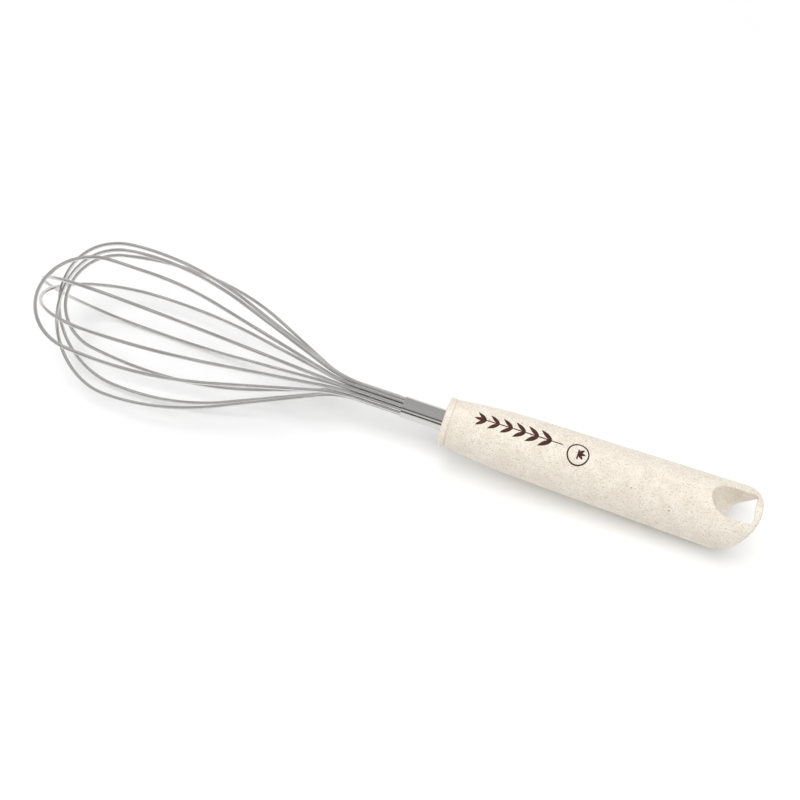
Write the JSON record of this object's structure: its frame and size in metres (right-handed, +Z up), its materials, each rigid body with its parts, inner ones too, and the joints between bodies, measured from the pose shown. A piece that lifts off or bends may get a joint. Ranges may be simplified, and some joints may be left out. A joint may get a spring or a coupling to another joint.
{
  "type": "balloon whisk",
  "caption": "Hand whisk with a balloon of bent steel wire loops, a slim steel ferrule and a thick, gently tapered moulded grip with a hanging hole in its slanted end.",
  "frame": {"origin": "on the table, at the middle of the lying whisk's bounding box", "axes": "+X towards the handle's end along the lying tool, +Z up; the handle's hanging hole opens upwards, and the tool's own axis rises 4.38 degrees towards the balloon"},
  "size_m": [0.3054, 0.0682, 0.0653],
  "materials": {
    "wire_steel": "drawn stainless spring wire, polished",
    "ferrule_steel": "polished stainless tube",
    "core_plastic": "dark moulded plastic, hidden",
    "handle_plastic": "cream wheat-fibre plastic with fine brown specks, satin"
  },
  "bodies": {
    "root": {"wire_loop_1": "wire_steel", "wire_loop_2": "wire_steel", "wire_loop_3": "wire_steel", "wire_loop_4": "wire_steel", "wire_loop_5": "wire_steel", "wire_loop_6": "wire_steel", "ferrule": "ferrule_steel", "ferrule_core": "core_plastic", "ferrule_plug": "core_plastic", "handle_collar": "handle_plastic", "handle_body": "handle_plastic"}
  },
  "joints": []
}
